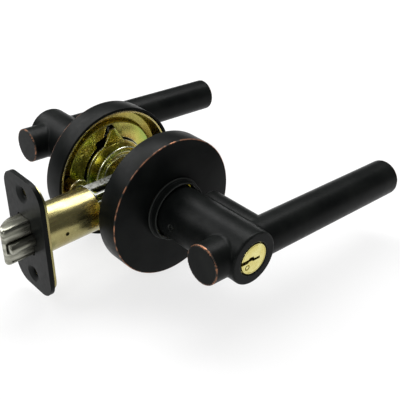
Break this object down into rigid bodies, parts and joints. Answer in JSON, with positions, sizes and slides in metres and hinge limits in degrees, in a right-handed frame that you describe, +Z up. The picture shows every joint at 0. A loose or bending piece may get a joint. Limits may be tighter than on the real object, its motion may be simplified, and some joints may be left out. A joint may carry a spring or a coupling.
{
  "type": "lever handle lockset",
  "caption": "Keyed lever lockset: two round-bar levers on round rosettes, key cylinder outside, turn button inside, and a tubular spring latch with a deadlatch plunger.",
  "frame": {"origin": "where the spindle axis crosses the latch axis, the centre of the door's cross bore", "axes": "+X from the latch towards the lever ends, +Y towards the inside of the door, +Z up"},
  "size_m": [0.1772, 0.1594, 0.0666],
  "materials": {
    "bronze": "oil-rubbed bronze, satin, with copper showing on worn edges",
    "chromate": "yellow chromate over zinc plate, iridescent",
    "zinc": "bright zinc plate",
    "brass": "pale machined brass",
    "nickel": "satin nickel plate",
    "spring_steel": "drawn wire",
    "plastic": "matte moulded"
  },
  "bodies": {
    "lock_frame": {"outer_rosette": "bronze", "outer_collar": "bronze", "outer_mounting_plate": "chromate", "outer_return_spring": "spring_steel", "outer_post_1": "chromate", "outer_post_2": "chromate", "inner_rosette": "bronze", "inner_collar": "bronze", "inner_mounting_plate": "chromate", "inner_return_spring": "spring_steel", "mounting_screw_1": "zinc", "mounting_screw_2": "zinc", "latch_faceplate": "bronze", "latch_back_plate": "chromate", "latch_tube": "chromate", "latch_case": "zinc", "latch_bolt_spring": "spring_steel"},
    "outer_handle": {"outer_lever": "bronze", "outer_spindle_sleeve": "chromate", "outer_spring_driver": "chromate", "outer_sleeve_ring": "zinc", "key_cylinder_body": "brass", "pin_chamber_cover": "brass", "driver_pin_1": "brass", "driver_pin_2": "brass", "driver_pin_3": "brass", "driver_pin_4": "brass", "driver_pin_5": "brass", "pin_spring_1": "spring_steel", "pin_spring_2": "spring_steel", "pin_spring_3": "spring_steel", "pin_spring_4": "spring_steel", "pin_spring_5": "spring_steel"},
    "key_plug_set": {"key_plug": "brass", "plug_retainer_clip": "spring_steel", "key_tailpiece": "zinc", "bottom_pin_1": "brass", "bottom_pin_2": "brass", "bottom_pin_3": "brass", "bottom_pin_4": "brass", "bottom_pin_5": "brass"},
    "outer_catch": {"outer_lever_catch": "spring_steel"},
    "inner_handle": {"inner_lever": "bronze", "inner_spindle_sleeve": "chromate", "inner_spring_driver": "chromate", "inner_sleeve_ring": "zinc", "button_guide": "plastic"},
    "inner_catch": {"inner_lever_catch": "spring_steel"},
    "button_set": {"turn_button": "bronze", "turn_button_rod": "zinc"},
    "spindle_set": {"drive_spindle": "chromate", "latch_hub": "zinc"},
    "bolt_set": {"latch_bolt": "nickel", "latch_retractor": "zinc", "deadlatch_spring": "spring_steel"},
    "plunger_set": {"deadlatch_plunger": "nickel"}
  },
  "joints": [
    {"name": "outer_lever_turn", "type": "hinge", "parent": "lock_frame", "child": "outer_handle", "pos_m": [0, 0, 0], "axis": [0, 1, 0], "range_deg": [0, 50], "stiffness_Nm_per_rad": 0.5, "springref_deg": -57.3},
    {"name": "inner_lever_turn", "type": "hinge", "parent": "lock_frame", "child": "inner_handle", "pos_m": [0, 0, 0], "axis": [0, 1, 0], "range_deg": [0, 50], "stiffness_Nm_per_rad": 0.5, "springref_deg": -57.3},
    {"name": "spindle_turn", "type": "hinge", "parent": "lock_frame", "child": "spindle_set", "pos_m": [0, 0, 0], "axis": [0, 1, 0], "range_deg": [0, 50]},
    {"name": "latch_slide", "type": "slide", "parent": "lock_frame", "child": "bolt_set", "axis": [1, 0, 0], "range_m": [0, 0.0127], "stiffness_N_per_m": 150, "springref_m": -0.02, "deforming": ["latch_bolt_spring"]},
    {"name": "plunger_slide", "type": "slide", "parent": "bolt_set", "child": "plunger_set", "axis": [1, 0, 0], "range_m": [0, 0.009], "stiffness_N_per_m": 120, "springref_m": -0.01, "deforming": ["deadlatch_spring"]},
    {"name": "key_turn", "type": "hinge", "parent": "outer_handle", "child": "key_plug_set", "pos_m": [0, 0, 0], "axis": [0, 1, 0], "range_deg": [-90, 90]},
    {"name": "button_turn", "type": "hinge", "parent": "inner_handle", "child": "button_set", "pos_m": [0, 0, 0], "axis": [0, 1, 0], "range_deg": [0, 90]},
    {"name": "outer_catch_press", "type": "slide", "parent": "outer_handle", "child": "outer_catch", "axis": [0.9981, 0, -0.061], "range_m": [0, 0.0016], "stiffness_N_per_m": 400, "springref_m": -0.002},
    {"name": "inner_catch_press", "type": "slide", "parent": "inner_handle", "child": "inner_catch", "axis": [0.9981, 0, -0.061], "range_m": [0, 0.0016], "stiffness_N_per_m": 400, "springref_m": -0.002}
  ],
  "couplings": [
    {"joint": "inner_lever_turn", "follows": "outer_lever_turn", "ratio": 1},
    {"joint": "spindle_turn", "follows": "outer_lever_turn", "ratio": 1},
    {"joint": "latch_slide", "follows": "outer_lever_turn", "m_per_rad": 0.01455}
  ]
}
